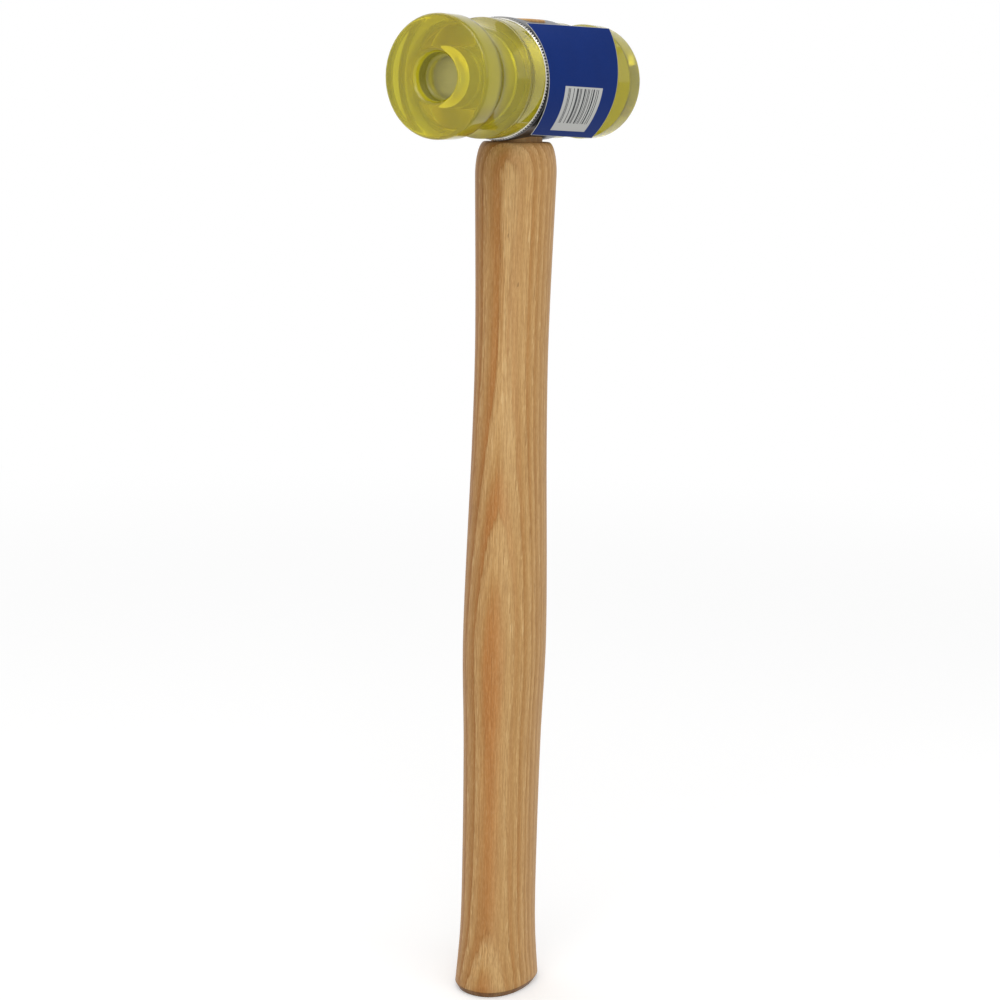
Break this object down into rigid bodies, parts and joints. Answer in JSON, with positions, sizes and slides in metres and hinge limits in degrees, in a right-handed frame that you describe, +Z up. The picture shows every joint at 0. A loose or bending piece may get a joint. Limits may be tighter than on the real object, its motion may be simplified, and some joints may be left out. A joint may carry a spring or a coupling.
{
  "type": "soft-face mallet",
  "caption": "Double-faced soft mallet: see-through amber elastomer faces screwed onto a steel barrel, on a wedged oval wooden handle.",
  "frame": {"origin": "centre of the flat butt of the handle, which is the middle of the underside of the bounding box", "axes": "+Z up the handle towards the head, +X along the head towards the right face, -Y the labelled front"},
  "size_m": [0.101, 0.041, 0.3472],
  "materials": {
    "handle_wood": "satin lacquered ash with cathedral grain",
    "barrel_steel": "turned grey steel with serrated rims",
    "amber_elastomer": "glossy see-through amber",
    "bush_steel": "turned steel",
    "wedge_timber": "bare hardwood end grain",
    "wedge_steel": "bright steel",
    "label_film": "satin blue label with a white panel of plain bars"
  },
  "bodies": {
    "mallet": {"handle": "handle_wood", "head_barrel": "barrel_steel", "timber_wedge": "wedge_timber", "left_steel_wedge": "wedge_steel", "right_steel_wedge": "wedge_steel", "head_label": "label_film"},
    "left_bush": {"left_thread_bush": "bush_steel"},
    "left_amber_face": {"left_face": "amber_elastomer"},
    "right_bush": {"right_thread_bush": "bush_steel"},
    "right_amber_face": {"right_face": "amber_elastomer"}
  },
  "joints": [
    {"name": "left_face_travel", "type": "slide", "parent": "mallet", "child": "left_bush", "axis": [-1, 0, 0], "range_m": [0, 0.01]},
    {"name": "left_face_turn", "type": "hinge", "parent": "left_bush", "child": "left_amber_face", "pos_m": [-0.0505, 0, 0.3268], "axis": [-1, 0, 0], "range_deg": [0, 1800]},
    {"name": "right_face_travel", "type": "slide", "parent": "mallet", "child": "right_bush", "axis": [1, 0, 0], "range_m": [0, 0.01]},
    {"name": "right_face_turn", "type": "hinge", "parent": "right_bush", "child": "right_amber_face", "pos_m": [0.0505, 0, 0.3268], "axis": [1, 0, 0], "range_deg": [0, 1800]}
  ],
  "couplings": [
    {"joint": "left_face_turn", "follows": "left_face_travel", "rad_per_m": 3141.6},
    {"joint": "right_face_turn", "follows": "right_face_travel", "rad_per_m": 3141.6}
  ]
}
